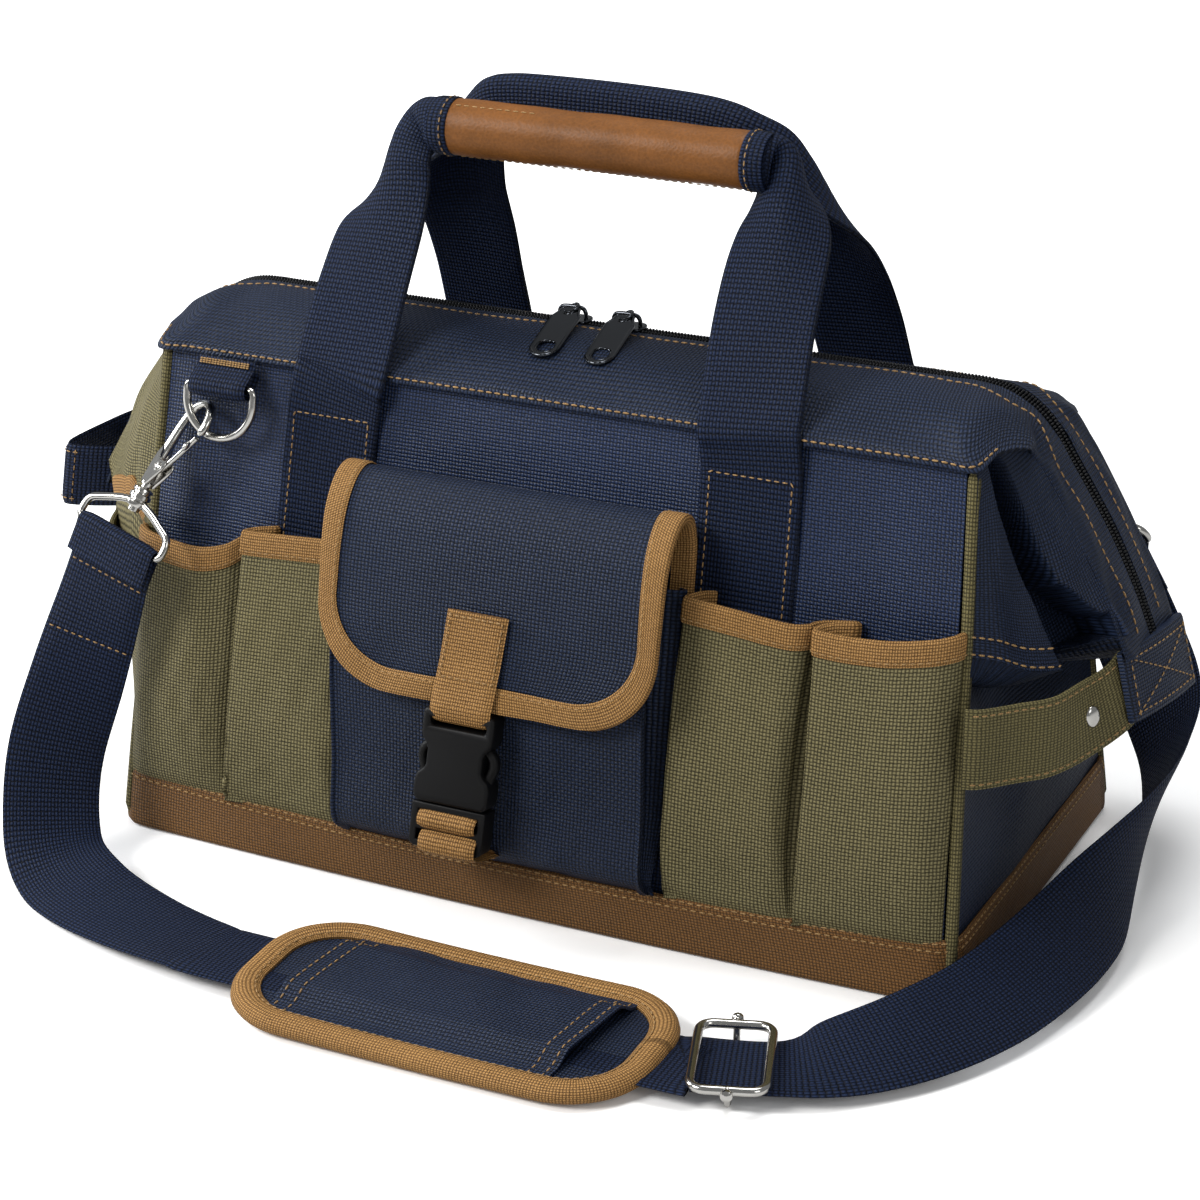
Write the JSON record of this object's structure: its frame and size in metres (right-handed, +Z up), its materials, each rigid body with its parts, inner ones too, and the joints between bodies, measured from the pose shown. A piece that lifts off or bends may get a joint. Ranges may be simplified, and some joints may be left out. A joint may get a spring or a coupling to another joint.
{
  "type": "tool_bag",
  "caption": "Wide-mouth fabric tool bag on a stiff base, with a zipped top, webbing carrying handles, outer pockets, a buckled flap pocket and a clip-on padded shoulder strap.",
  "frame": {"origin": "middle of the flat base, on its underside", "axes": "+X along the bag to the right as its front is seen, +Y from the front to the back, +Z up"},
  "size_m": [0.4604, 0.326, 0.2972],
  "materials": {
    "navy_twill": "dense coated twill with a soft satin sheen",
    "navy_webbing": "woven webbing with a ribbed weave",
    "olive_twill": "dry diagonal twill",
    "olive_webbing": "woven tape with a fine rib",
    "brown_canvas": "heavy coated canvas",
    "tan_tape": "ribbed binding tape",
    "tan_webbing": "herringbone webbing",
    "grip_leather": "smooth waxed leather with a light grain",
    "zip_coil": "black nylon coil on woven tape",
    "black_plastic": "moulded with a fine satin texture",
    "stiff_board": "pressed board",
    "slider_metal": "gunmetal plating",
    "polished_metal": "polished nickel plating",
    "rod_steel": "drawn steel rod"
  },
  "bodies": {
    "root": {"base_floor": "brown_canvas", "base_band": "brown_canvas", "base_board": "stiff_board", "front_panel": "navy_twill", "back_panel": "navy_twill", "left_end_panel": "olive_twill", "right_end_panel": "navy_twill", "left_gusset": "olive_twill", "right_gusset": "navy_twill", "front_top_band": "navy_twill", "back_top_band": "navy_twill", "front_frame_rod": "rod_steel", "back_frame_rod": "rod_steel", "corner_piping": "olive_webbing", "front_zip_half": "zip_coil", "back_zip_half": "zip_coil", "left_zip_tab": "navy_webbing", "right_zip_tab": "navy_webbing", "end_straps": "olive_webbing", "end_strap_rivets": "polished_metal", "left_end_pocket": "olive_twill", "front_left_pockets": "olive_twill", "front_left_binding": "tan_tape", "front_right_pockets": "olive_twill", "front_right_binding": "tan_tape", "back_pockets": "olive_twill", "back_binding": "tan_tape", "flap_pocket": "navy_twill", "buckle_plug": "black_plastic", "buckle_prongs": "black_plastic", "buckle_webbing": "tan_webbing", "handle_anchors": "navy_webbing", "ring_loops": "navy_webbing", "front_d_ring": "polished_metal", "back_d_ring": "polished_metal", "front_hook": "polished_metal", "front_swivel": "polished_metal", "back_hook": "polished_metal", "back_swivel": "polished_metal", "shoulder_strap": "navy_webbing", "shoulder_pad": "navy_webbing", "strap_adjuster": "polished_metal"},
    "front_handle": {"front_handle_web": "navy_webbing", "front_grip_core": "navy_webbing", "front_grip_wrap": "grip_leather"},
    "back_handle": {"back_handle_web": "navy_webbing", "back_grip": "navy_webbing"},
    "flap_body": {"flap": "navy_twill", "flap_binding": "tan_tape", "flap_tab": "tan_webbing", "buckle_socket": "black_plastic"},
    "left_slider_body": {"left_slider": "slider_metal"},
    "right_slider_body": {"right_slider": "slider_metal"},
    "left_pull_body": {"left_pull": "slider_metal"},
    "right_pull_body": {"right_pull": "slider_metal"},
    "front_gate_body": {"front_hook_gate": "polished_metal"},
    "back_gate_body": {"back_hook_gate": "polished_metal"}
  },
  "joints": [
    {"name": "front_handle_swing", "type": "hinge", "parent": "root", "child": "front_handle", "pos_m": [0, -0.0671, 0.198], "axis": [1, 0, 0], "range_deg": [0, 110]},
    {"name": "back_handle_swing", "type": "hinge", "parent": "root", "child": "back_handle", "pos_m": [0, 0.0551, 0.178], "axis": [-1, 0, 0], "range_deg": [0, 135]},
    {"name": "flap_lift", "type": "hinge", "parent": "root", "child": "flap_body", "pos_m": [0, -0.06927, 0.16745], "axis": [-1, 0, 0], "range_deg": [0, 80], "deforming": ["buckle_prongs"]},
    {"name": "left_slider_run", "type": "slide", "parent": "root", "child": "left_slider_body", "axis": [-1, 0, 0], "range_m": [0, 0.12]},
    {"name": "right_slider_run", "type": "slide", "parent": "root", "child": "right_slider_body", "axis": [1, 0, 0], "range_m": [0, 0.13]},
    {"name": "left_pull_swing", "type": "hinge", "parent": "left_slider_body", "child": "left_pull_body", "pos_m": [-0.016, -0.0085, 0.2163], "axis": [-1, 0, 0], "range_deg": [0, 170]},
    {"name": "right_pull_swing", "type": "hinge", "parent": "right_slider_body", "child": "right_pull_body", "pos_m": [0.007, -0.0085, 0.2163], "axis": [-1, 0, 0], "range_deg": [0, 170]},
    {"name": "front_gate_swing", "type": "hinge", "parent": "root", "child": "front_gate_body", "pos_m": [-0.15565, -0.0868, 0.15365], "axis": [-0.4635, -0.6012, 0.651], "range_deg": [0, 16], "stiffness_Nm_per_rad": 0.0005},
    {"name": "back_gate_swing", "type": "hinge", "parent": "root", "child": "back_gate_body", "pos_m": [0.15565, 0.07976, 0.13705], "axis": [0.4635, 0.4794, 0.7452], "range_deg": [0, 16], "stiffness_Nm_per_rad": 0.0005}
  ]
}
